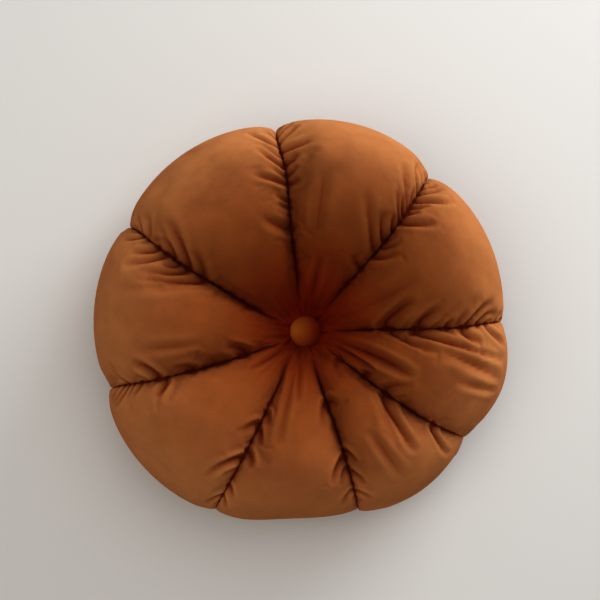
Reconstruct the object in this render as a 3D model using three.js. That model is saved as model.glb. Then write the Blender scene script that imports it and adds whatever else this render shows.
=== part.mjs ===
// A round pumpkin cushion: eight puffed velvet lobes around a covered button, lying on its back.
//
// Millimetres and degrees. +Z is up, out of the cushion's face, and +Y is the side that is
// uppermost when the cushion stands against a backrest. Angles turn from +X towards +Y, about
// the button. The origin is on the floor, under the middle of the cushion's outline.

import * as THREE from 'three';

// Rim radius that the meridian table below is drawn for.
const RIM_RADIUS = 225;

// Half of a lengthwise cut through the cushion, from the middle of the face over the rim to the
// middle of the back. Each row gives radius and height on a lobe's crest and down in a seam.
// Heights under the floor are where the filling is pressed flat.
const MERIDIAN = [
  { crest: [0, 97], seam: [0, 97] },
  { crest: [20, 97], seam: [20, 96.5] },
  { crest: [35, 113], seam: [40, 104] },
  { crest: [60, 139], seam: [69, 115] },
  { crest: [94, 159], seam: [102, 125] },
  { crest: [131, 166], seam: [134, 130] },
  { crest: [167, 158], seam: [165, 127] },
  { crest: [198, 134], seam: [190, 113] },
  { crest: [219, 102], seam: [205, 92] },
  { crest: [226, 68], seam: [209, 71] },
  { crest: [215, 34], seam: [203, 51] },
  { crest: [190, 9], seam: [184, 33] },
  { crest: [157, -4], seam: [157, 22] },
  { crest: [120, -7], seam: [124, 17] },
  { crest: [86, -3], seam: [92, 21] },
  { crest: [57, 13], seam: [62, 31] },
  { crest: [32, 35], seam: [36, 43] },
  { crest: [13, 50], seam: [15, 50] },
  { crest: [0, 51], seam: [0, 51] },
];
const SEAM_RIM = 209; // seam radius at the rim in the table

// The seams, in turn about the button from the one nearest +X: the seam's radius at the rim, and
// its angle at each of SEAM_RADII.
const SEAM_RADII = [24, 60, 105, 160, 215];
const SEAMS = [
  { rim: 216, angles: [0.5, 1, 0.8, 1, 3] },
  { rim: 213, angles: [49, 49.5, 49, 49.8, 51.8] },
  { rim: 223, angles: [101, 98.5, 98.2, 97, 98.5] },
  { rim: 223, angles: [159, 156, 153.4, 151.5, 149] },
  { rim: 220, angles: [206, 202.8, 200.7, 198.6, 196.2] },
  { rim: 216, angles: [238, 243, 244, 243.8, 243] },
  { rim: 202, angles: [284, 285.5, 287, 287.2, 286.5] },
  { rim: 209, angles: [321, 321.5, 321.8, 323.5, 326.5] },
];

// The lobes, each from its seam to the next: how far it reaches from the button beside its first
// seam, in its middle and beside its second seam, and how full it is.
const LOBES = [
  { reach: [224, 229, 234], fill: 1.0 },
  { reach: [236, 239, 241], fill: 1.0 },
  { reach: [241, 241, 240], fill: 1.04 },
  { reach: [240, 236, 233], fill: 1.02 },
  { reach: [238, 233, 229], fill: 1.0 },
  { reach: [226, 208, 206], fill: 1.0 },
  { reach: [213, 217, 216], fill: 0.9 },
  { reach: [215, 227, 226], fill: 0.88 },
];
const SHOULDER = 0.72; // below 1, a lobe rises steeply from its seams and is flatter on top

// The larger creases of the gathered velvet, on the face. Each leaves its seam at radius from,
// ends at radius to, and turns by so many degrees on the way, positive into the lobe after the
// seam. Width and depth are those of the trough where it is deepest.
const CREASES = [
  { seam: 0, from: 83, to: 122, turn: 14, width: 11, depth: 11 },
  { seam: 0, from: 117, to: 145, turn: 7.5, width: 9, depth: 9 },
  { seam: 0, from: 170, to: 201, turn: 7.5, width: 8, depth: 7 },
  { seam: 0, from: 88, to: 142, turn: -10, width: 8, depth: 6 },
  { seam: 0, from: 114, to: 208, turn: -9, width: 8, depth: 8 },
  { seam: 0, from: 164, to: 186, turn: -4.5, width: 9, depth: 10 },
  { seam: 1, from: 110, to: 157, turn: 18, width: 9, depth: 6 },
  { seam: 1, from: 125, to: 146, turn: 8, width: 8, depth: 8 },
  { seam: 1, from: 161, to: 177, turn: 5, width: 8, depth: 8 },
  { seam: 1, from: 191, to: 216, turn: 6, width: 8, depth: 7 },
  { seam: 1, from: 105, to: 128, turn: -7, width: 8, depth: 6 },
  { seam: 1, from: 153, to: 177, turn: -9, width: 8, depth: 9 },
  { seam: 1, from: 183, to: 210, turn: -9, width: 8, depth: 9 },
  { seam: 2, from: 157, to: 173, turn: 11, width: 8, depth: 7 },
  { seam: 2, from: 177, to: 200, turn: 7, width: 8, depth: 8 },
  { seam: 2, from: 203, to: 220, turn: 8, width: 8, depth: 8 },
  { seam: 2, from: 195, to: 201, turn: -9.5, width: 8, depth: 8 },
  { seam: 2, from: 208, to: 222, turn: -6, width: 8, depth: 8 },
  { seam: 3, from: 118, to: 191, turn: 10, width: 8, depth: 8 },
  { seam: 3, from: 168, to: 205, turn: 8, width: 8, depth: 8 },
  { seam: 3, from: 139, to: 186, turn: -11, width: 8, depth: 8 },
  { seam: 4, from: 155, to: 173, turn: 4.5, width: 9, depth: 12 },
  { seam: 4, from: 199, to: 220, turn: 5, width: 8, depth: 7 },
  { seam: 4, from: 66, to: 91, turn: -9, width: 9, depth: 8 },
  { seam: 4, from: 163, to: 186, turn: -8, width: 9, depth: 11 },
  { seam: 5, from: 140, to: 157, turn: 3.5, width: 9, depth: 10 },
  { seam: 5, from: 148, to: 183, turn: -8, width: 8, depth: 8 },
  { seam: 6, from: 139, to: 160, turn: -4.5, width: 8, depth: 9 },
  { seam: 6, from: 155, to: 173, turn: 3, width: 8, depth: 6 },
  { seam: 7, from: 47, to: 55, turn: -9, width: 9, depth: 8 },
  { seam: 7, from: 105, to: 163, turn: -9, width: 9, depth: 10 },
  { seam: 7, from: 162, to: 190, turn: -5, width: 8, depth: 8 },
];
const RIM_ROW = 9; // row of the meridian table at the rim
const ROW_LENGTH = 35; // velvet between two rows of the table, on average
const CREASE_STEPS = 8; // straight pieces that a crease's path is made of
const CREASE_CURL = 1.7; // above 1, a crease turns most where it leaves its seam
const CREASE_EDGE = 1.6; // above 1, the sides of a crease are rounded
const CREASE_START = 0.55; // width where a crease leaves its seam, as a share of its full width

// Mesh density: steps across each lobe, and steps between rows of the meridian table.
const STEPS_ACROSS = 12;
const STEPS_FINE = 6;
const STEPS_COARSE = 2;
const FINE_ROWS = [4, 9]; // rows of the table between which the steps are fine

const BUTTON_RADIUS = 17;
const BUTTON_HEIGHT = 12;
const BUTTON_ROUND = 3.2; // rounding of the button's lower edge
const BUTTON_DOME = 6; // height at which the dome begins
const BUTTON_STEPS = { round: 6, dome: 8, around: 24 };
const SEAT_GAP = 0.3; // between the button and the velvet under it

const radians = THREE.MathUtils.degToRad;
const lerp = THREE.MathUtils.lerp;

// Smooth value at a fractional place in a list of numbers, by Catmull-Rom.
function smoothAt(values, place) {
  const last = values.length - 1;
  const i = Math.min(Math.floor(place), last - 1);
  const s = place - i;
  const at = (k) => values[THREE.MathUtils.clamp(k, 0, last)];
  const [a, b, c, d] = [at(i - 1), at(i), at(i + 1), at(i + 2)];
  return b + 0.5 * s * (c - a + s * (2 * a - 5 * b + 4 * c - d + s * (3 * (b - c) + d - a)));
}

// Angle of a seam at a radius. The list wraps, so seam 8 is seam 0 one turn on.
function seamAngle(index, radius) {
  const turn = 360 * Math.floor(index / SEAMS.length);
  const { angles } = SEAMS[index % SEAMS.length];
  const last = SEAM_RADII.length - 1;
  if (radius <= SEAM_RADII[0]) return angles[0] + turn;
  if (radius >= SEAM_RADII[last]) return angles[last] + turn;
  const i = SEAM_RADII.findIndex((r) => r > radius) - 1;
  const s = (radius - SEAM_RADII[i]) / (SEAM_RADII[i + 1] - SEAM_RADII[i]);
  return smoothAt(angles, i + s) + turn;
}

const column = (line, axis) => MERIDIAN.map((row) => row[line][axis]);
const CREST_RADIUS = column('crest', 0);
const CREST_HEIGHT = column('crest', 1);
const SEAM_RADIUS = column('seam', 0);
const SEAM_HEIGHT = column('seam', 1);

// How much of a lobe's swelling there is at a share of its width: none in the seams.
const bulgeAt = (across) => Math.sin(Math.PI * across) ** SHOULDER;

// Point on a lobe: across runs from 0 at its first seam to 1 at its second, and place is a
// fractional row of the meridian table.
function lobePoint(lobe, across, place) {
  const { reach, fill } = LOBES[lobe];
  const bulge = bulgeAt(across);
  const share = (1 - Math.cos(Math.PI * across)) / 2;
  const next = SEAMS[(lobe + 1) % SEAMS.length];

  const rimScale = lerp(SEAMS[lobe].rim, next.rim, share) / SEAM_RIM;
  const seamR = smoothAt(SEAM_RADIUS, place);
  const seamReach = seamR * lerp(1, rimScale, seamR / SEAM_RIM);
  const lobeScale = smoothAt(reach, 2 * share) / RIM_RADIUS;
  const crestR = smoothAt(CREST_RADIUS, place);
  const crestReach = crestR * lerp(1, lobeScale, crestR / RIM_RADIUS);
  const radius = lerp(seamReach, crestReach, bulge);

  const seamZ = smoothAt(SEAM_HEIGHT, place);
  const crestZ = smoothAt(CREST_HEIGHT, place);
  const height = Math.max(0, seamZ + (crestZ - seamZ) * bulge * fill);

  const angle = radians(lerp(seamAngle(lobe, radius), seamAngle(lobe + 1, radius), share));
  return [radius * Math.cos(angle), radius * Math.sin(angle), height];
}

// Fractional row of the meridian table, on the face, at a radius beside a seam.
function placeAt(radius, seam) {
  const scale = (LOBES[seam].reach[0] + SEAMS[seam].rim) / (RIM_RADIUS + SEAM_RIM);
  const mean = MERIDIAN.slice(0, RIM_ROW + 1).map((row) => (row.crest[0] + row.seam[0]) / 2);
  const reach = mean.map((r) => r * lerp(1, scale, r / mean[RIM_ROW]));
  const i = reach.findIndex((r) => r > radius) - 1;
  return i + (radius - reach[i]) / (reach[i + 1] - reach[i]);
}

// Points of a crease's path, from its seam to its far end: place in the table, and angle.
function creasePath({ seam, from, to, turn }) {
  const path = [];
  for (let k = 0; k <= CREASE_STEPS; k += 1) {
    const s = k / CREASE_STEPS;
    const radius = lerp(from, to, s);
    const angle = seamAngle(seam, from) + turn * (1 - (1 - s) ** CREASE_CURL);
    path.push(new THREE.Vector2(placeAt(radius, seam), radians(angle)));
  }
  return path;
}
const CREASE_PATHS = CREASES.map(creasePath);

// An angle turned by a whole circle where that brings it nearer to another.
function turnedNear(angle, other) {
  const off = THREE.MathUtils.euclideanModulo(angle - other + Math.PI, 2 * Math.PI);
  return other + off - Math.PI;
}

// Share of the way from a to b at which the line between them passes closest to a point.
function closestShare(a, b, point) {
  const along = b.clone().sub(a);
  const share = point.clone().sub(a).dot(along) / along.lengthSq();
  return THREE.MathUtils.clamp(share, 0, 1);
}

// How far the creases draw the velvet in at a point, measured over the velvet's surface.
function creaseDepth(x, y, place) {
  const radius = Math.hypot(x, y);
  const angle = Math.atan2(y, x);
  const point = new THREE.Vector2();
  const nearest = new THREE.Vector2();
  let deepest = 0;
  CREASES.forEach(({ width, depth }, i) => {
    const path = CREASE_PATHS[i].map((p) => new THREE.Vector2(p.x * ROW_LENGTH, p.y * radius));
    const near = turnedNear(angle, CREASE_PATHS[i][0].y);
    point.set(place * ROW_LENGTH, near * radius);
    for (let k = 0; k < CREASE_STEPS; k += 1) {
      const t = closestShare(path[k], path[k + 1], point);
      nearest.lerpVectors(path[k], path[k + 1], t);
      const s = (k + t) / CREASE_STEPS;
      const spread = width * lerp(CREASE_START, 1, s);
      const away = nearest.distanceTo(point) / spread;
      deepest = Math.max(deepest, depth * Math.sqrt(1 - s) * Math.exp(-(away ** CREASE_EDGE)));
    }
  });
  return deepest;
}

// Places in the meridian table where the mesh has a ring of points, both middles left out.
function ringPlaces() {
  const places = [];
  for (let row = 0; row < MERIDIAN.length - 1; row += 1) {
    const fine = row >= FINE_ROWS[0] && row < FINE_ROWS[1];
    const steps = fine ? STEPS_FINE : STEPS_COARSE;
    for (let k = 0; k < steps; k += 1) places.push(row + k / steps);
  }
  return places.slice(1);
}

// The filled body: rings of points joined by triangles, closed by a fan at each middle.
function cushionGeometry() {
  const places = ringPlaces();
  const around = LOBES.length * STEPS_ACROSS;
  const points = [];
  const drawnIn = [];
  for (const place of places) {
    for (let k = 0; k < around; k += 1) {
      const lobe = Math.floor(k / STEPS_ACROSS);
      const across = (k % STEPS_ACROSS) / STEPS_ACROSS;
      const [x, y, z] = lobePoint(lobe, across, place);
      points.push(x, y, z);
      drawnIn.push(place < RIM_ROW ? creaseDepth(x, y, place) * bulgeAt(across) : 0);
    }
  }
  const face = points.push(0, 0, CREST_HEIGHT[0]) / 3 - 1;
  const back = points.push(0, 0, CREST_HEIGHT.at(-1)) / 3 - 1;

  const triangles = [];
  for (let k = 0; k < around; k += 1) {
    const next = (k + 1) % around;
    const lastRing = (places.length - 1) * around;
    triangles.push(face, k, next);
    triangles.push(back, lastRing + next, lastRing + k);
    for (let ring = 0; ring < places.length - 1; ring += 1) {
      const [a, b] = [ring * around + k, ring * around + next];
      triangles.push(a, a + around, b);
      triangles.push(b, a + around, b + around);
    }
  }
  const geometry = new THREE.BufferGeometry();
  geometry.setAttribute('position', new THREE.Float32BufferAttribute(points, 3));
  geometry.setIndex(triangles);
  geometry.computeVertexNormals();
  const { position, normal } = geometry.attributes;
  const point = new THREE.Vector3();
  const inward = new THREE.Vector3();
  drawnIn.forEach((depth, i) => {
    inward.fromBufferAttribute(normal, i);
    point.fromBufferAttribute(position, i).addScaledVector(inward, -depth);
    position.setXYZ(i, point.x, point.y, point.z);
  });
  geometry.computeVertexNormals();
  return geometry;
}

// The covered button: a flat back, a rounded rim and a low dome.
function buttonGeometry() {
  const profile = [new THREE.Vector2(0, 0)];
  for (let k = 0; k <= BUTTON_STEPS.round; k += 1) {
    const turn = radians(90 * (k / BUTTON_STEPS.round - 1));
    const r = BUTTON_RADIUS - BUTTON_ROUND * (1 - Math.cos(turn));
    profile.push(new THREE.Vector2(r, BUTTON_ROUND * (1 + Math.sin(turn))));
  }
  for (let k = 0; k < BUTTON_STEPS.dome; k += 1) {
    const turn = radians((90 * k) / BUTTON_STEPS.dome);
    const rise = (BUTTON_HEIGHT - BUTTON_DOME) * Math.sin(turn);
    profile.push(new THREE.Vector2(BUTTON_RADIUS * Math.cos(turn), BUTTON_DOME + rise));
  }
  profile.push(new THREE.Vector2(0, BUTTON_HEIGHT));
  return new THREE.LatheGeometry(profile, BUTTON_STEPS.around).rotateX(Math.PI / 2);
}

const velvet = () => new THREE.MeshStandardMaterial({ color: '#8e4a1e', roughness: 0.95 });

const cushion = new THREE.Mesh(cushionGeometry(), velvet());
cushion.name = 'cushion';

const button = new THREE.Mesh(buttonGeometry(), velvet());
button.name = 'button';
button.position.z = CREST_HEIGHT[0] + SEAT_GAP;

// The button is a little off the outline's middle, so the whole is moved to stand over the origin.
const middle = new THREE.Box3().setFromObject(cushion).getCenter(new THREE.Vector3());
const part = new THREE.Group();
part.add(cushion, button);
part.position.set(-middle.x, -middle.y, 0);

export default part;
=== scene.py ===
# A round pumpkin cushion in rust velvet, lying on its back: eight gores drawn into gathered
# seams, with a covered button in the middle. The frame, the camera and the studio are in metres.
# The other sizes here are in millimetres and degrees about the button, as in the part's own
# source, and are turned to metres when a mesh is made.

import math

import bpy
import numpy as np
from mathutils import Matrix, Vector


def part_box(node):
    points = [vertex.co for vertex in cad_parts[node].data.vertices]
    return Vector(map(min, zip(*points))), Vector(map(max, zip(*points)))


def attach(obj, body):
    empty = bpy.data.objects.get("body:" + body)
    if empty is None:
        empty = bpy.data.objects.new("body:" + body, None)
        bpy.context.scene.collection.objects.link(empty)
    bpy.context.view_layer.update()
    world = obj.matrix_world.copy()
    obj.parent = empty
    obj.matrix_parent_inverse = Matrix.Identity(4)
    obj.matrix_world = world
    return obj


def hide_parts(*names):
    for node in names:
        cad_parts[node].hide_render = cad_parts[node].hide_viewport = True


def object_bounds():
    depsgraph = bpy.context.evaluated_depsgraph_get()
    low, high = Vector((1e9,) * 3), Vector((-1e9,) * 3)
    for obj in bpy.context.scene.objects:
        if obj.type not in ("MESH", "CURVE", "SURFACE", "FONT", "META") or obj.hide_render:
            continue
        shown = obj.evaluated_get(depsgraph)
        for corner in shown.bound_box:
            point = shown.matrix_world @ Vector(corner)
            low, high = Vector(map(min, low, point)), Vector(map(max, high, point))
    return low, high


MM = 0.001

# Half of a lengthwise cut: crest radius and height, seam radius and height, from the middle of
# the face over the rim to the middle of the back.
MERIDIAN = np.array(
    [
        (0, 97, 0, 97),
        (20, 97, 20, 96.5),
        (35, 113, 40, 104),
        (60, 139, 69, 115),
        (94, 159, 102, 125),
        (131, 166, 134, 130),
        (167, 158, 165, 127),
        (198, 134, 190, 113),
        (219, 102, 205, 92),
        (226, 68, 209, 71),
        (215, 34, 203, 51),
        (190, 9, 184, 33),
        (157, -4, 157, 22),
        (120, -7, 124, 17),
        (86, -3, 92, 21),
        (57, 13, 62, 31),
        (32, 35, 36, 43),
        (13, 50, 15, 50),
        (0, 51, 0, 51),
    ],
    float,
)
CREST_RADIUS, CREST_HEIGHT, SEAM_RADIUS, SEAM_HEIGHT = MERIDIAN.T
RIM_ROW = 9
RIM_RADIUS = 225.0  # that a lobe's reach is measured against
SEAM_RIM = 209.0  # that a seam's radius at the rim is measured against
ROW_LENGTH = 35.0  # cloth between two rows of the meridian table

# Seams in turn from the one nearest +X: radius at the rim, and angle at each of SEAM_RADII.
SEAM_RADII = np.array([24, 60, 105, 160, 215], float)
SEAMS = [
    {"rim": 216, "angles": (0.5, 1, 0.8, 1, 3)},
    {"rim": 213, "angles": (48, 48.3, 47.9, 49.1, 51.4)},
    {"rim": 223, "angles": (101, 98.5, 98.2, 97, 98.5)},
    {"rim": 223, "angles": (159, 156, 153.4, 151.5, 149)},
    {"rim": 220, "angles": (206, 202.8, 200.7, 198.6, 196.2)},
    {"rim": 216, "angles": (238, 243, 244, 243.8, 243)},
    {"rim": 202, "angles": (284, 285.5, 287, 287.2, 286.5)},
    {"rim": 209, "angles": (321, 321.5, 321.8, 323.5, 326.5)},
]
# Lobes, each from its seam to the next: reach beside one seam, in the middle and beside the
# other, how full it is, and how tightly its velvet is gathered.
LOBES = [
    {"reach": (224, 229, 234), "fill": 1.0, "gather": 0.9},
    {"reach": (236, 239, 241), "fill": 1.0, "gather": 1.0},
    {"reach": (241, 241, 240), "fill": 1.04, "gather": 1.0},
    {"reach": (240, 236, 233), "fill": 1.02, "gather": 0.9},
    {"reach": (238, 233, 229), "fill": 1.0, "gather": 0.6},
    {"reach": (226, 208, 206), "fill": 1.0, "gather": 0.4},
    {"reach": (213, 217, 216), "fill": 0.9, "gather": 0.6},
    {"reach": (215, 227, 226), "fill": 0.88, "gather": 0.8},
]
LOBE_TURN = 360 / len(LOBES)
SHOULDER = 0.72  # below 1, a lobe rises steeply beside its seams and is broad on top

# Creases that run out of a seam: its index, the radius where the crease leaves it, the radius of
# its far end, how far it turns (positive into the lobe after the seam), its width and depth.
SEAM_CREASES = [
    # right
    (0, 83, 122, 14, 11, 11),
    (0, 117, 145, 7.5, 9, 9),
    (0, 147, 158, 2.5, 5, 4),
    (0, 160, 172, 5, 7, 3),
    (0, 170, 201, 7.5, 6, 7),
    (0, 182, 202, 4, 5, 5),
    (0, 205, 213, 3, 5, 4),
    (0, 88, 142, -10, 7, 6),
    (0, 112, 212, -9, 7, 10),
    (0, 164, 186, -4.5, 9, 10),
    (0, 193, 214, -6, 8, 6),
    # upper right
    (1, 88, 97, 9, 8, 5),
    (1, 110, 157, 18, 9, 5),
    (1, 125, 146, 8, 8, 8),
    (1, 140, 154, 3.5, 6, 6),
    (1, 153, 178, 8, 6, 5),
    (1, 161, 177, 5, 6, 8),
    (1, 170, 205, 10, 8, 5),
    (1, 177, 192, 3, 5, 5),
    (1, 191, 216, 6, 6, 7),
    (1, 205, 219, 5, 5, 2),
    (1, 105, 128, -7, 8, 6),
    (1, 118, 136, -4, 6, 5),
    (1, 153, 177, -9, 8, 9),
    (1, 166, 177, -2.5, 5, 5),
    (1, 174, 188, -4, 6, 6),
    (1, 183, 210, -9, 7, 9),
    (1, 193, 217, -5, 6, 5),
    (1, 202, 218, -3.5, 5, 5),
    # top
    (2, 108, 129, 12, 10, 5),
    (2, 131, 138, 4, 6, 5),
    (2, 138, 146, 4, 6, 6),
    (2, 157, 173, 11, 7, 7),
    (2, 165, 176, 4, 5, 4),
    (2, 177, 200, 7, 6, 8),
    (2, 189, 206, 5, 6, 4),
    (2, 203, 220, 8, 6, 8),
    (2, 214, 225, 3.5, 5, 4),
    (2, 156, 162, -4, 7, 6),
    (2, 166, 177, -3.5, 6, 6),
    (2, 179, 189, -4.5, 7, 7),
    (2, 195, 201, -9.5, 8, 8),
    (2, 208, 222, -6, 7, 8),
    (2, 216, 230, -5, 6, 5),
    # upper left
    (3, 118, 191, 10, 7, 8),
    (3, 139, 186, 8, 7, 8),
    (3, 150, 166, 3, 6, 6),
    (3, 168, 205, 8, 8, 7),
    (3, 180, 204, 4.5, 7, 9),
    (3, 204, 220, 3.5, 6, 7),
    (3, 116, 202, 14, 12, 3),
    (3, 121, 146, -8, 9, 5),
    (3, 139, 186, -11, 8, 8),
    (3, 158, 182, -4, 7, 6),
    (3, 196, 209, -6, 8, 3),
    (3, 207, 220, -4, 5, 4),
    # left
    (4, 155, 173, 4.5, 7, 10),
    (4, 183, 196, 2.5, 5, 5),
    (4, 192, 204, 3, 4, 4),
    (4, 199, 220, 5, 5, 7),
    (4, 205, 222, 4, 5, 7),
    (4, 212, 224, 3, 5, 6),
    (4, 66, 91, -9, 9, 6),
    (4, 124, 146, -3.5, 7, 4),
    (4, 163, 186, -8, 8, 11),
    (4, 200, 211, -3.5, 5, 5),
    # lower left
    (5, 94, 109, 3, 5, 4),
    (5, 113, 132, 3, 5, 6),
    (5, 140, 157, 3.5, 7, 8),
    (5, 182, 194, 2, 6, 6),
    (5, 197, 210, 2.5, 5, 5),
    (5, 109, 126, -4.5, 7, 5),
    (5, 148, 183, -8, 7, 8),
    (5, 196, 212, -3.5, 5, 6),
    # bottom
    (6, 78, 89, 4, 8, 5),
    (6, 132, 149, 2.5, 6, 6),
    (6, 155, 173, 3, 6, 5),
    (6, 178, 191, 4, 6, 4),
    (6, 79, 105, -4.5, 7, 5),
    (6, 139, 168, -6.5, 7, 9),
    (6, 150, 170, -3.5, 6, 5),
    (6, 177, 193, -4, 6, 5),
    # lower right
    (7, 77, 87, 3.5, 7, 7),
    (7, 103, 128, 10, 9, 4),
    (7, 47, 55, -9, 9, 8),
    (7, 105, 172, -9.5, 8, 12),
    (7, 104, 153, -12, 12, 3),
    (7, 166, 201, -4.5, 6, 10),
]
# Creases that start on their own: angle and radius of each end, width and depth.
FREE_CREASES = [
    (343, 36, 336, 125, 9, 8),
    (331, 30, 330, 90, 8, 5),
    (81, 28, 79, 84, 8, 4),
    (262, 24, 263, 84, 7, 3),
    (253, 24, 256, 130, 8, 2),
    (219, 21, 213, 78, 7, 4),
    (302, 122, 304, 182, 10, 2.5),
    (341, 160, 343, 207, 8, 3),
    (351, 140, 346, 205, 12, 4),
    (188, 112, 186, 180, 9, 1.5),
    (84, 104, 83, 163, 13, 2.5),
    (20, 60, 24, 130, 14, 2),
]

# Where the cushion is seen from: degrees off straight above, distance in metres, and how far in
# metres the spot at the middle of the picture is from the outline's middle.
VIEW_TILT = 3.5
VIEW_DISTANCE = 1.25
VIEW_SHIFT = (-0.0008, 0.0206)
PIXELS_PER_METRE = 900.0
PICTURE_SIZE = 600

# Mesh density: columns across each lobe, and rows of mesh per row of the meridian table, more
# of them between FINE_ROWS. The cloth is simulated on the coarser grid.
FINE_ROWS = (3, 10)
FINE_GRID = {"columns": 56, "fine": 20, "coarse": 6}
CLOTH_GRID = {"columns": 26, "fine": 14, "coarse": 5}
CLOTH_FRAMES = 20
CLOTH_QUALITY = 6
CLOTH_PRESSURE = 4.0
CLOTH_MASS = 0.3
CLOTH_STRETCH = 20  # how stiffly the cloth takes being pulled or pressed together
CLOTH_SHEAR = 8
CLOTH_BENDING = 0.3
CLOTH_GROWTH = 0.05  # a tightly gathered lobe is cut this much longer than its seams
GATHER_ROWS = (1.8, 4.2)  # rows of the meridian table between which the gathers set in
HELD_ROWS = (1.2, 16)  # the cloth is held still before the first of these rows and past the second
CLOTH_CAP = 14.0  # the furthest that a point of the cloth may move
CLOTH_SWELL = 3.0  # the cloth starts this much inside its final shape
SEAM_GAP = 0.25  # from a seam to the nearest points of its lobes

# The velvet: its pile leans towards the button and is stroked a little every way. Its colour
# goes by the distance in millimetres from a spot just beyond the button on its +Y side, where
# its painted shade is deepest, growing to painted light at the rim; on the button, from a spot at
# its left edge, where its painted highlight is lightest.
PILE_LEAN = 0.3
PILE_STROKES = 0.65
# The velvet's rust colour with painted shade, deep and red in the hollow about the button, and
# painted light, lighter towards the rim.
PILE_COLOURS_LIGHT_AND_SHADE = [
    (14, (0.165, 0.0140, 0.0028)),
    (30, (0.190, 0.0235, 0.0036)),
    (53, (0.195, 0.0380, 0.0081)),
    (92, (0.206, 0.0630, 0.0180)),
    (132, (0.231, 0.0800, 0.0260)),
    (167, (0.272, 0.1030, 0.0395)),
    (199, (0.346, 0.1480, 0.0580)),
    (235, (0.386, 0.1760, 0.0750)),
]
# The button's colour, with a painted highlight at its left edge and painted shade towards its right.
BUTTON_COLOURS_LIGHT_AND_SHADE = [
    (3, (0.270, 0.0850, 0.0160)),
    (17, (0.180, 0.0430, 0.0070)),
    (26, (0.120, 0.0160, 0.0025)),
    (34, (0.100, 0.0080, 0.0015)),
]
# Spots where the pile's painted shade is deepest and the button's painted highlight is lightest.
PILE_SHADE_SPOT = (4, 13.5)
BUTTON_HIGHLIGHT_SPOT = (-15, 2)
FOLD_SHADE = (-0.47, -0.78, -0.82)  # painted shade: change of red, green and blue at the bottom of a fold
MOTTLE = 0.4  # how uneven the pile's colour is
SHEEN = 0.16
SHEEN_COLOUR = (1.0, 0.25, 0.1)
PILE_BUMP = {"strength": 0.25, "distance": 0.6 * MM}
# Scale, detail and roughness of the noise in the colour, in the pile's grain and in its strokes.
MOTTLE_NOISE = (36, 6, 0.65)
GRAIN_NOISE = (900, 2, 0.5)
STROKE_NOISE = (18, 4, 0.5)

# The creases: half the width of a trough where it leaves its seam and at its end, as shares of
# the width in the table, and the height of the ridges beside it, as a share of its depth.
TROUGH_WIDTHS = (0.42, 0.5)
TROUGH_DEPTH = (1.6, 0.8)  # a crease is this times its depth in the table to this power
TROUGH_PROFILE = 1.3  # above 1, a trough is rounder at its bottom
RIDGE_HEIGHT = 0.5
RIDGE_PLACE = 1.9  # from the trough's middle to the ridge's, in half widths of the trough
RIDGE_NARROWNESS = 1.3
RIDGE_CUT = 2.0  # a trough this deep cuts the ridges of its neighbours down to about a third
CREASE_STEPS = 8  # straight pieces in a crease's path
CREASE_BEND = 1.7  # above 1, a crease runs away from its seam first and then along it
CREASE_TAPER = 0.75  # below 1, a crease stays deep for longer before its end
NEAR_CREASE = {"rows": 1.2, "degrees": 14}  # how far past its ends and sides a crease is felt
SEAM_SHARPNESS = 0.92  # below 1, a crease is still deep close to its seam
SEAM_SHADE = 1.1  # width of the painted shade line along a seam, to each side
SEAM_SHADE_STARTS = (12, 62)  # the painted shade line grows darker between these distances from the button
DEEP_CREASE = 7.0  # depth at which a crease's painted shade is as dark as a seam's
CREASE_LINES = (1.5, 2.8)  # half the width of the painted shade line in a crease, at its seam and its end
LINE_PROFILE = 1.5  # above 1, the painted shade line has a darker middle and clearer sides
TROUGH_SHADE = 0.35  # how dark the painted shade on the sides of a crease is, as a share of its line

# Small creases in the velvet about the button, from their start outwards, and the gathers along
# each seam at the rim. A pair holds the least and the most of what is drawn at random. For the
# gathers, rows, first and step count rows of the meridian table: where they begin and stop, how
# far in the first one may lie, and how far apart they are.
CREASE_SEED = 8
TUCKS = {
    "count": 24,
    "start": 19,
    "length": (20, 66),
    "turn": (-4, 4),
    "width": (5, 8),
    "depth": (0.8, 2.4),
}
GATHERS = {
    "rows": (9.0, 11.5),
    "first": 0.2,
    "step": (0.25, 0.5),
    "length": (14, 34),
    "bend": 1.5,
    "width": (5, 8),
    "depth": (3.5, 7.5),
}
GATHER_DRIFT = (8.6, -0.16)  # past this row, a gather slants by this share of its length a row

# The button: the share of its radius and of its height that its lower edge rounds off, the share
# of its height where the dome starts, and its steps in degrees.
BUTTON_EDGE = (0.19, 0.27)
BUTTON_DOME = 0.5
BUTTON_STEPS = {"around": 6, "edge": 15, "dome": 7.5}

# The studio, in metres and watts: the lamps all face one spot in the cushion.
FLOOR_REACH = 6.0
FLOOR_COLOUR = (0.62, 0.61, 0.6)
LAMP_TARGET = (0, 0, 0.1)
LAMPS = [
    {
        "name": "window",
        "place": (1.38, 1.65, 0.56),
        "width": 1.5,
        "watts": 44,
        "colour": (0.98, 1, 1),
    },
    {
        "name": "sky",
        "place": (0.47, 0.81, 2.09),
        "width": 2.2,
        "watts": 15,
        "colour": (0.98, 1, 1),
    },
    {
        "name": "room",
        "place": (-0.85, -0.45, 2.0),
        "width": 1.8,
        "watts": 10.5,
        "colour": (1, 0.88, 0.75),
    },
]
SURROUND = 0.25  # strength of the even light from all around


def smooth_at(rows, place):
    """Catmull-Rom through rows of numbers at fractional places."""
    rows = np.asarray(rows, float)
    place = np.asarray(place, float)
    last = len(rows) - 1
    i = np.clip(np.floor(place).astype(int), 0, last - 1)
    s = (place - i).reshape(place.shape + (1,) * (rows.ndim - 1))
    a, b, c, d = (rows[np.clip(i + k, 0, last)] for k in (-1, 0, 1, 2))
    return b + 0.5 * s * (c - a + s * (2 * a - 5 * b + 4 * c - d + s * (3 * (b - c) + d - a)))


def turned_by(angle, other):
    """How far an angle is past another one, from -180 to 180 degrees."""
    return (angle - other + 180) % 360 - 180


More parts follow.
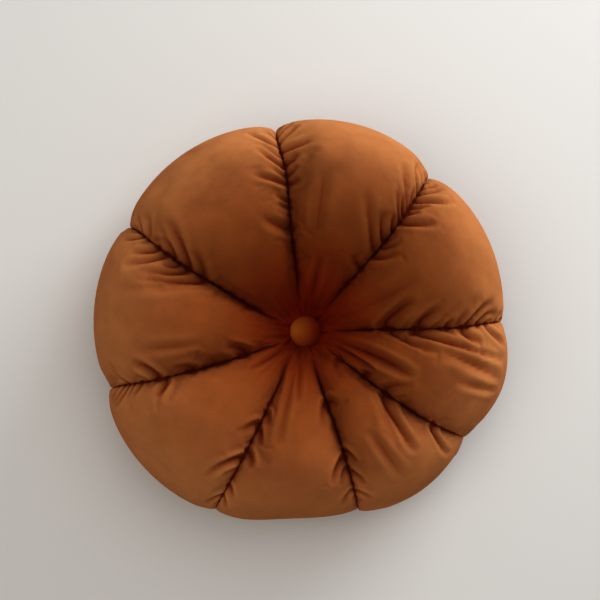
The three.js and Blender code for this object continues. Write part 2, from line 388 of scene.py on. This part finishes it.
def seam_angle(index, radius):
    """Angle of a seam at each radius, in degrees; the list wraps after a full turn."""
    turn = 360 * (index // len(SEAMS))
    place = np.interp(radius, SEAM_RADII, np.arange(len(SEAM_RADII)))
    return smooth_at(SEAMS[index % len(SEAMS)]["angles"], place) + turn


def mix(a, b, share):
    return a + (b - a) * share


def bulge_at(across):
    return np.sin(np.pi * across) ** SHOULDER


def lobe_surface(lobe, across, place):
    """Radius, angle and height over a grid of places (down) and shares of the width (across)."""
    across, place = np.meshgrid(across, place)
    bulge = bulge_at(across)
    share = (1 - np.cos(np.pi * across)) / 2
    rims = SEAMS[lobe]["rim"], SEAMS[(lobe + 1) % len(SEAMS)]["rim"]

    seam_r = smooth_at(SEAM_RADIUS, place)
    rim_scale = mix(*rims, share) / SEAM_RIM
    seam_reach = seam_r * mix(1, rim_scale, seam_r / SEAM_RIM)
    crest_r = smooth_at(CREST_RADIUS, place)
    lobe_scale = smooth_at(LOBES[lobe]["reach"], 2 * share) / RIM_RADIUS
    crest_reach = crest_r * mix(1, lobe_scale, crest_r / RIM_RADIUS)
    radius = mix(seam_reach, crest_reach, bulge)

    seam_z = smooth_at(SEAM_HEIGHT, place)
    crest_z = smooth_at(CREST_HEIGHT, place)
    height = seam_z + (crest_z - seam_z) * bulge * LOBES[lobe]["fill"]

    angle = mix(seam_angle(lobe, radius), seam_angle(lobe + 1, radius), share)
    return radius, angle, height


def grid_places(grid):
    places = []
    for row in range(len(MERIDIAN) - 1):
        steps = grid["fine"] if FINE_ROWS[0] <= row < FINE_ROWS[1] else grid["coarse"]
        places += [row + k / steps for k in range(steps)]
    return np.array(places[1:])


def place_of(radius, seam):
    """Place in the meridian table, on the face, where the cushion has this radius by a seam."""
    mean = (CREST_RADIUS + SEAM_RADIUS) / 2
    reach = (LOBES[seam]["reach"][0] + SEAMS[seam]["rim"]) / (RIM_RADIUS + SEAM_RIM)
    rows = np.arange(RIM_ROW + 1)
    mean = mean[: len(rows)]
    return np.interp(radius, mean * mix(1, reach, mean / mean[-1]), rows)


def crease_paths():
    """Each crease as points (place, angle), its width and depth, the seam it leaves and to which
    side, if any, and whether it fades out at both ends."""
    s = np.linspace(0, 1, CREASE_STEPS + 1)
    paths = []

    def add(place, angle, width, depth, seam=None, side=0, both_ends=False):
        path = {"place": place, "angle": angle, "width": width, "depth": depth}
        paths.append(path | {"seam": seam, "side": side, "both_ends": both_ends})

    for seam, start, end, turn, width, depth in SEAM_CREASES:
        angle = seam_angle(seam, start) + turn * (1 - (1 - s) ** CREASE_BEND)
        add(place_of(mix(start, end, s), seam), angle, width, depth, seam, math.copysign(1, turn))
    for angle_0, radius_0, angle_1, radius_1, width, depth in FREE_CREASES:
        place = place_of(mix(radius_0, radius_1, s), int(angle_0 // LOBE_TURN))
        add(place, mix(angle_0, angle_1, s), width, depth, both_ends=True)

    rng = np.random.default_rng(CREASE_SEED)
    count = TUCKS["count"]
    for angle in np.arange(count) * 360 / count + rng.uniform(*TUCKS["turn"], count):
        radius = TUCKS["start"] + rng.uniform(*TUCKS["length"]) * s
        place = place_of(radius, int(angle // LOBE_TURN) % len(SEAMS))
        angle = angle + rng.uniform(*TUCKS["turn"]) * s
        add(place, angle, rng.uniform(*TUCKS["width"]), rng.uniform(*TUCKS["depth"]))

    first_row, last_row = GATHERS["rows"]
    for seam in range(len(SEAMS)):
        for side in (-1, 1):
            place = first_row + GATHERS["first"] * rng.random()
            while place < last_row:
                length = rng.uniform(*GATHERS["length"])
                radius = np.interp(place, np.arange(len(MERIDIAN)), SEAM_RADIUS)
                turn = side * math.degrees(length / radius) * (1 - (1 - s) ** GATHERS["bend"])
                drift = GATHER_DRIFT[1] * (place - GATHER_DRIFT[0]) * length / ROW_LENGTH
                angle = seam_angle(seam, radius) + turn
                width = rng.uniform(*GATHERS["width"])
                add(place + drift * s, angle, width, rng.uniform(*GATHERS["depth"]), seam, side)
                place += rng.uniform(*GATHERS["step"])
    return paths


def nearest_on_path(along, turned, x, y, radius):
    """Each point's distance from a path, and the share of the path's length at which it is
    nearest. The path's angles, turned, are in radians and count at the point's own radius."""
    pieces = len(along) - 1
    nearest = np.full(radius.shape, np.inf)
    share = np.zeros(radius.shape)
    for k in range(pieces):
        dx, dy = along[k + 1] - along[k], (turned[k + 1] - turned[k]) * radius
        ax, ay = x - along[k], y - turned[k] * radius
        t = np.clip((ax * dx + ay * dy) / (dx * dx + dy * dy + 1e-9), 0, 1)
        away = np.hypot(ax - t * dx, ay - t * dy)
        closer = away < nearest
        nearest = np.where(closer, away, nearest)
        share = np.where(closer, (k + t) / pieces, share)
    return nearest, share


def creases_at(place, angle, radius):
    """Depth of the creases' troughs at each point of the cover, and height of the ridges of cloth
    gathered between them, in millimetres, and how dark the painted shade lines in the creases are."""
    trough = np.zeros_like(place)
    ridge = np.zeros_like(place)
    line = np.zeros_like(place)
    for path in crease_paths():
        middle = path["angle"].mean()
        rows_off = np.abs(place - path["place"].mean())
        near = rows_off < np.ptp(path["place"]) / 2 + NEAR_CREASE["rows"]
        off = turned_by(angle, middle)
        near &= np.abs(off) < np.ptp(path["angle"]) / 2 + NEAR_CREASE["degrees"]
        if not near.any():
            continue
        r = radius[near]
        along = path["place"] * ROW_LENGTH
        turned = np.radians(path["angle"] - middle)
        x = place[near] * ROW_LENGTH
        y = np.radians(off[near]) * r
        nearest, share = nearest_on_path(along, turned, x, y, r)

        fade = np.sin(np.pi * share) if path["both_ends"] else 1 - share
        fade = TROUGH_DEPTH[0] * path["depth"] ** TROUGH_DEPTH[1] * fade**CREASE_TAPER
        if path["side"]:
            past = -path["side"] * turned_by(angle[near], seam_angle(path["seam"], r))
            fade *= np.exp(-np.maximum(np.radians(past) * r, 0) / SEAM_SHADE)
        # The painted shade of the crease's dark line, darkest at its middle.
        dark = np.minimum(fade / DEEP_CREASE, 1)
        dark *= np.exp(-((nearest / mix(*CREASE_LINES, share)) ** LINE_PROFILE))
        line[near] = np.maximum(line[near], dark)
        away = nearest / (path["width"] * mix(*TROUGH_WIDTHS, share))
        trough[near] = np.maximum(trough[near], fade * np.exp(-(away**TROUGH_PROFILE)))
        swell = np.exp(-RIDGE_NARROWNESS * (away - RIDGE_PLACE) ** 2)
        ridge[near] = np.maximum(ridge[near], fade * RIDGE_HEIGHT * swell)
    return trough, ridge * np.exp(-trough / RIDGE_CUT), line


def grid_faces(rows, around):
    """Quads between the rings of a grid, and the triangles that close it at both middles."""
    here = np.arange(around)
    after = (here + 1) % around
    ring = np.arange(rows - 1)[:, None] * around
    quads = np.stack([ring + here, ring + around + here, ring + around + after, ring + after], -1)
    last = (rows - 1) * around
    face, back = rows * around, rows * around + 1
    fans = [np.stack([np.full(around, face), here, after], -1)]
    fans.append(np.stack([np.full(around, back), last + after, last + here], -1))
    return quads.reshape(-1, 4), np.vstack(fans)


def with_middles(points):
    """The grid's points as one list, with the middle of the face and of the back at its end."""
    middles = [[0, 0, CREST_HEIGHT[0]], [0, 0, CREST_HEIGHT[-1]]]
    return np.vstack([points.reshape(-1, 3), middles])


def grid_normals(points):
    quads, fans = grid_faces(*points.shape[:2])
    flat = with_middles(points)
    normals = np.zeros_like(flat)
    for faces in (quads, fans):
        a, b, c = flat[faces[:, 0]], flat[faces[:, 1]], flat[faces[:, -1]]
        across = np.cross(b - a, c - a)
        for k in range(faces.shape[1]):
            np.add.at(normals, faces[:, k], across)
    normals /= np.linalg.norm(normals, axis=1, keepdims=True) + 1e-12
    return normals[:-2].reshape(points.shape)


def cover_grid(grid):
    """The sewn cover with its creases, as a grid of points in millimetres about the button, and the
    painted shade at each point: 1 at the bottom of a seam or crease, below 0 for a painted highlight
    on a ridge."""
    places = grid_places(grid)
    across = np.arange(grid["columns"]) / grid["columns"]
    parts = [lobe_surface(lobe, across, places) for lobe in range(len(LOBES))]
    radius, angle, height = (np.concatenate([p[k] for p in parts], axis=1) for k in range(3))
    turn = np.radians(angle)
    points = np.stack([radius * np.cos(turn), radius * np.sin(turn), height], axis=-1)
    place = np.repeat(places, points.shape[1])
    creases = creases_at(place, angle.ravel() % 360, radius.ravel())
    trough, ridge, line = (values.reshape(radius.shape) for values in creases)
    bulge = np.tile(bulge_at(across), len(LOBES))
    out = (ridge - trough) * bulge**SEAM_SHARPNESS - CLOTH_SWELL * bulge
    points += grid_normals(points) * out[..., None]

    # Painted shade along each seam, in each crease's line and on its sides, and a painted highlight
    # on the ridges between creases.
    share = np.tile((1 - np.cos(2 * np.pi * across)) / 4, len(LOBES))
    from_seam = share * np.radians(LOBE_TURN) * radius
    seam = np.exp(-from_seam / SEAM_SHADE) * np.interp(radius, SEAM_SHADE_STARTS, (0, 1))
    shaded = TROUGH_SHADE * bulge * np.minimum(trough / DEEP_CREASE, 1)
    return points, np.maximum(np.maximum(seam, line), shaded) - ridge / DEEP_CREASE


def press_flat(points):
    """Flattens what would lie below the floor."""
    points[..., 2] = np.maximum(points[..., 2], 0)
    return points


def resample(rows, old, new):
    """Rows of numbers at new positions, smoothly, from their old ones."""
    return smooth_at(rows, np.interp(new, old, np.arange(len(old))))


def add_mesh(name, points, faces, smooth=True):
    mesh = bpy.data.meshes.new(name)
    mesh.from_pydata([tuple(p) for p in points], [], faces)
    mesh.update()
    for polygon in mesh.polygons:
        polygon.use_smooth = smooth
    added = bpy.data.objects.new(name, mesh)
    bpy.context.scene.collection.objects.link(added)
    return added


def set_cloth(cloth):
    """Cloth under pressure, held at its group "sewn" and longer where it is gathered."""
    settings = cloth.modifiers.new("cloth", "CLOTH").settings
    settings.vertex_group_mass = "sewn"
    settings.quality = CLOTH_QUALITY
    settings.mass = CLOTH_MASS
    settings.tension_stiffness = settings.compression_stiffness = CLOTH_STRETCH
    settings.shear_stiffness = CLOTH_SHEAR
    settings.bending_stiffness = CLOTH_BENDING
    settings.use_pressure = True
    settings.uniform_pressure_force = CLOTH_PRESSURE
    settings.vertex_group_shrink = "not gathered"
    settings.shrink_min = -CLOTH_GROWTH
    settings.shrink_max = 0
    settings.effector_weights.gravity = 0


def settle_cloth():
    """Lets the cover swell as cloth, sewn down along its seams and at both middles, and gives
    how far each point of the cloth's grid has moved, lobe by lobe."""
    points = press_flat(cover_grid(CLOTH_GRID)[0])
    rows, around = points.shape[:2]
    quads, fans = grid_faces(rows, around)
    cloth = add_mesh("cloth", with_middles(points) * MM, quads.tolist() + fans.tolist())

    columns = CLOTH_GRID["columns"]
    places = grid_places(CLOTH_GRID)
    index = np.arange(rows * around).reshape(rows, around)
    in_middle = (places < HELD_ROWS[0]) | (places > HELD_ROWS[1])
    held = np.union1d(index[:, ::columns], index[in_middle]).tolist()
    held += [rows * around, rows * around + 1]
    cloth.vertex_groups.new(name="sewn").add(held, 1, "REPLACE")
    plain_cloth = cloth.vertex_groups.new(name="not gathered")
    set_in = np.interp(places, GATHER_ROWS, (0, 1))
    for lobe, values in enumerate(LOBES):
        strip = index[:, lobe * columns : (lobe + 1) * columns]
        for row, share in zip(strip, set_in):
            plain_cloth.add(row.tolist(), 1 - float(share * values["gather"]), "REPLACE")

    set_cloth(cloth)
    for frame_number in range(1, CLOTH_FRAMES + 1):
        bpy.context.scene.frame_set(frame_number)
    shown = cloth.evaluated_get(bpy.context.evaluated_depsgraph_get())
    settled = np.zeros(len(cloth.data.vertices) * 3, np.float32)
    shown.data.vertices.foreach_get("co", settled)
    bpy.context.scene.frame_set(1)
    bpy.data.objects.remove(cloth)

    moved = settled.reshape(-1, 3)[:-2].reshape(points.shape) / MM - points
    length = np.linalg.norm(moved, axis=-1, keepdims=True)
    return moved * np.minimum(1, CLOTH_CAP / (length + 1e-9))


def cloth_on_fine_grid(moved):
    """The cloth's movement at each point of the finer grid."""
    moved = resample(moved, grid_places(CLOTH_GRID), grid_places(FINE_GRID))
    coarse, fine = CLOTH_GRID["columns"], FINE_GRID["columns"]
    lobes = []
    for lobe in range(len(LOBES)):
        picked = np.arange(lobe * coarse, (lobe + 1) * coarse + 1) % moved.shape[1]
        strip = np.moveaxis(moved[:, picked], 1, 0)
        old = np.arange(coarse + 1) / coarse
        strip = resample(strip, old, np.arange(fine) / fine)
        lobes.append(np.moveaxis(strip, 0, 1))
    return np.concatenate(lobes, axis=1)


def keep_in_lobes(points):
    """Stops each lobe where it meets the next: no point crosses its own seams."""
    radius = np.hypot(points[..., 0], points[..., 1])
    angle = np.degrees(np.arctan2(points[..., 1], points[..., 0]))
    gap = np.degrees(SEAM_GAP / np.maximum(radius, 1))
    columns = FINE_GRID["columns"]
    for lobe in range(len(LOBES)):
        strip = slice(lobe * columns + 1, (lobe + 1) * columns)
        low = seam_angle(lobe, radius[:, strip]) + gap[:, strip]
        high = seam_angle(lobe + 1, radius[:, strip]) - gap[:, strip]
        middle = (low + high) / 2
        off = turned_by(angle[:, strip], middle)
        turn = np.radians(middle + np.clip(off, low - middle, high - middle))
        points[:, strip, 0] = radius[:, strip] * np.cos(turn)
        points[:, strip, 1] = radius[:, strip] * np.sin(turn)
    return points


def make_cover(button_axis):
    points, depth = cover_grid(FINE_GRID)
    points += cloth_on_fine_grid(settle_cloth())
    points = press_flat(keep_in_lobes(points))
    quads, fans = grid_faces(*points.shape[:2])
    points = with_middles(points) * MM + np.array([button_axis[0], button_axis[1], 0])
    cover = add_mesh("cover", points, quads.tolist() + fans.tolist())
    # The painted shade of seams and creases, and the painted highlight of ridges, kept as an
    # attribute for the velvet's colour.
    painted_fold_shade = cover.data.attributes.new("fold", "FLOAT", "POINT")
    painted_fold_shade.data.foreach_set("value", np.append(depth.ravel(), (0, 0)).astype(np.float32))
    return cover


def make_button(node):
    """The covered button, a dome over a rounded rim, from the size of its solid."""
    low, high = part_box(node)
    centre = (low + high) / 2
    radius = (high.x - low.x) / 2
    rise = high.z - low.z
    rings = []
    for turn in np.radians(np.arange(-90, 1, BUTTON_STEPS["edge"])):
        ring_radius = radius * (1 - BUTTON_EDGE[0] * (1 - math.cos(turn)))
        rings.append((ring_radius, rise * BUTTON_EDGE[1] * (1 + math.sin(turn))))
    for turn in np.radians(np.arange(BUTTON_STEPS["dome"], 90, BUTTON_STEPS["dome"])):
        height = rise * mix(BUTTON_DOME, 1, math.sin(turn))
        rings.append((radius * math.cos(turn), height))

    turns = np.radians(np.arange(0, 360, BUTTON_STEPS["around"]))
    points = [(centre.x, centre.y, low.z)]
    for r, z in rings:
        points += [(centre.x + r * math.cos(t), centre.y + r * math.sin(t), low.z + z) for t in turns]
    points.append((centre.x, centre.y, high.z))
    n = len(turns)
    faces = [(0, 1 + (k + 1) % n, 1 + k) for k in range(n)]
    for ring in range(len(rings) - 1):
        for k in range(n):
            a, b = 1 + ring * n + k, 1 + ring * n + (k + 1) % n
            faces.append((a, b, b + n, a + n))
    top = len(points) - 1
    faces += [(top, top - n + k, top - n + (k + 1) % n) for k in range(n)]
    return add_mesh("button_cover", points, faces)


def vector_step(tree, operation, first, second):
    """One step of vector arithmetic in a material: second is a socket or a fixed vector."""
    step = tree.nodes.new("ShaderNodeVectorMath")
    step.operation = operation
    tree.links.new(first, step.inputs[0])
    if isinstance(second, tuple):
        step.inputs[1].default_value = second
    elif second:
        tree.links.new(second, step.inputs[1])
    return step.outputs["Value" if operation == "LENGTH" else "Vector"]


def noise(tree, place, scale, detail, roughness):
    texture = tree.nodes.new("ShaderNodeTexNoise")
    texture.inputs["Scale"].default_value = scale
    texture.inputs["Detail"].default_value = detail
    texture.inputs["Roughness"].default_value = roughness
    tree.links.new(place, texture.inputs["Vector"])
    return texture


def pile_colour_light_and_shade(tree, outward, colours_light_and_shade, spot):
    """The pile's colour, with painted light and shade, by its distance from a spot, given in
    millimetres from the button.
    """
    reach = colours_light_and_shade[-1][0]
    from_spot = vector_step(tree, "SUBTRACT", outward, (spot[0] * MM, spot[1] * MM, 0))
    distance = tree.nodes.new("ShaderNodeMapRange")
    distance.inputs["From Max"].default_value = reach * MM
    tree.links.new(vector_step(tree, "LENGTH", from_spot, None), distance.inputs["Value"])
    ramp = tree.nodes.new("ShaderNodeValToRGB")
    colours = ramp.color_ramp
    for k, (radius, colour) in enumerate(colours_light_and_shade):
        element = colours.elements[k] if k < 2 else colours.elements.new(1)
        element.position = radius / reach
        element.color = (*colour, 1)
    tree.links.new(distance.outputs["Result"], ramp.inputs["Fac"])
    return ramp.outputs["Color"]


def pile_shade(tree, place):
    """Painted shade in a fold and along a seam, a painted highlight on a ridge, and a little uneven
    all over.
    """
    fold = tree.nodes.new("ShaderNodeAttribute")
    fold.attribute_name = "fold"
    painted_fold_shade = vector_step(tree, "MULTIPLY", fold.outputs["Vector"], FOLD_SHADE)
    mottle = noise(tree, place, *MOTTLE_NOISE).outputs["Fac"]
    mottle = vector_step(tree, "MULTIPLY", mottle, (MOTTLE,) * 3)
    shade = vector_step(tree, "ADD", painted_fold_shade, mottle)
    return vector_step(tree, "ADD", shade, (1 - MOTTLE / 2,) * 3)


def pile_normal(tree, place, outward, lean):
    """The pile's fine grain, its lean towards the button and its strokes."""
    bump = tree.nodes.new("ShaderNodeBump")
    bump.inputs["Strength"].default_value = PILE_BUMP["strength"]
    bump.inputs["Distance"].default_value = PILE_BUMP["distance"]
    tree.links.new(noise(tree, place, *GRAIN_NOISE).outputs["Fac"], bump.inputs["Height"])
    from_button = vector_step(tree, "NORMALIZE", outward, None)
    leaning = vector_step(tree, "MULTIPLY", from_button, (-lean, -lean, 0))
    strokes = noise(tree, place, *STROKE_NOISE).outputs["Color"]
    strokes = vector_step(tree, "SUBTRACT", strokes, (0.5, 0.5, 0.5))
    strokes = vector_step(tree, "MULTIPLY", strokes, (PILE_STROKES,) * 3)
    tilted = vector_step(tree, "ADD", bump.outputs["Normal"], leaning)
    tilted = vector_step(tree, "ADD", tilted, strokes)
    return vector_step(tree, "NORMALIZE", tilted, None)


def velvet(name, axis, colours_light_and_shade, spot, lean):
    """Short-pile velvet: dull, with a soft sheen and a fine grain."""
    material = bpy.data.materials.new(name)
    material.use_nodes = True
    tree = material.node_tree
    shader = tree.nodes["Principled BSDF"]
    shader.inputs["Roughness"].default_value = 1.0
    shader.inputs["Specular IOR Level"].default_value = 0.05
    shader.inputs["Sheen Weight"].default_value = SHEEN
    shader.inputs["Sheen Roughness"].default_value = 0.5
    shader.inputs["Sheen Tint"].default_value = (*SHEEN_COLOUR, 1)

    place = tree.nodes.new("ShaderNodeTexCoord").outputs["Object"]
    from_axis = vector_step(tree, "SUBTRACT", place, (axis[0], axis[1], 0))
    outward = vector_step(tree, "MULTIPLY", from_axis, (1, 1, 0))
    # The base colour carries painted light and shade: by distance from the spot, darker in folds and
    # seams, lighter on ridges.
    colour = pile_colour_light_and_shade(tree, outward, colours_light_and_shade, spot)
    shaded = vector_step(tree, "MULTIPLY", colour, pile_shade(tree, place))
    tree.links.new(shaded, shader.inputs["Base Color"])
    tree.links.new(pile_normal(tree, place, outward, lean), shader.inputs["Normal"])
    return material


def make_floor():
    corners = [(x * FLOOR_REACH, y * FLOOR_REACH, 0) for x, y in ((-1, -1), (1, -1), (1, 1), (-1, 1))]
    floor = add_mesh("floor", corners, [(0, 1, 2, 3)], smooth=False)
    material = bpy.data.materials.new("floor_plain")
    material.use_nodes = True
    shader = material.node_tree.nodes["Principled BSDF"]
    shader.inputs["Base Color"].default_value = (*FLOOR_COLOUR, 1)
    shader.inputs["Roughness"].default_value = 0.9
    floor.data.materials.append(material)


def make_camera(low, high):
    centre = (low + high) / 2
    target = centre + Vector((*VIEW_SHIFT, 0))
    tilt = math.radians(VIEW_TILT)
    back = Vector((0, -math.sin(tilt), math.cos(tilt)))
    data = bpy.data.cameras.new("camera")
    data.sensor_width = 36
    data.lens = data.sensor_width * PIXELS_PER_METRE * VIEW_DISTANCE / PICTURE_SIZE
    camera = bpy.data.objects.new("camera", data)
    camera.location = target + back * VIEW_DISTANCE
    camera.rotation_mode = "QUATERNION"
    camera.rotation_quaternion = (-back).to_track_quat("-Z", "Y")
    bpy.context.scene.collection.objects.link(camera)
    bpy.context.scene.camera = camera


def make_lights():
    for values in LAMPS:
        data = bpy.data.lights.new(values["name"], "AREA")
        data.shape = "DISK"
        data.size = values["width"]
        data.energy = values["watts"]
        data.color = values["colour"]
        lamp = bpy.data.objects.new(values["name"], data)
        lamp.location = values["place"]
        lamp.rotation_mode = "QUATERNION"
        facing = Vector(LAMP_TARGET) - Vector(values["place"])
        lamp.rotation_quaternion = facing.to_track_quat("-Z", "Y")
        bpy.context.scene.collection.objects.link(lamp)
    world = bpy.data.worlds.new("studio")
    world.use_nodes = True
    background = world.node_tree.nodes["Background"]
    background.inputs["Color"].default_value = (1, 1, 1, 1)
    background.inputs["Strength"].default_value = SURROUND
    bpy.context.scene.world = world
    bpy.context.scene.view_settings.view_transform = "Standard"
    bpy.context.scene.view_settings.look = "High Contrast"


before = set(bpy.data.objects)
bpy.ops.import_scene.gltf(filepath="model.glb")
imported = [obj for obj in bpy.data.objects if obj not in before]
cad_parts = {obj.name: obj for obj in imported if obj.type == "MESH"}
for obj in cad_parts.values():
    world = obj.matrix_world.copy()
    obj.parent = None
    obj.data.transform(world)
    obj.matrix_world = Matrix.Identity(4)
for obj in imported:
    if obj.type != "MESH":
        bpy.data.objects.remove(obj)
cad_low, cad_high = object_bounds()
make_camera(cad_low, cad_high)

button_low, button_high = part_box("button")
button_axis = (button_low + button_high) / 2
cover = make_cover(button_axis)
cover.data.materials.append(
    velvet("rust_velvet", button_axis, PILE_COLOURS_LIGHT_AND_SHADE, PILE_SHADE_SPOT, PILE_LEAN)
)
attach(cover, "root")
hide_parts("cushion")

button = make_button("button")
button.data.materials.append(
    velvet("button_velvet", button_axis, BUTTON_COLOURS_LIGHT_AND_SHADE, BUTTON_HIGHLIGHT_SPOT, 0)
)
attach(button, "root")
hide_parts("button")

make_floor()
make_lights()
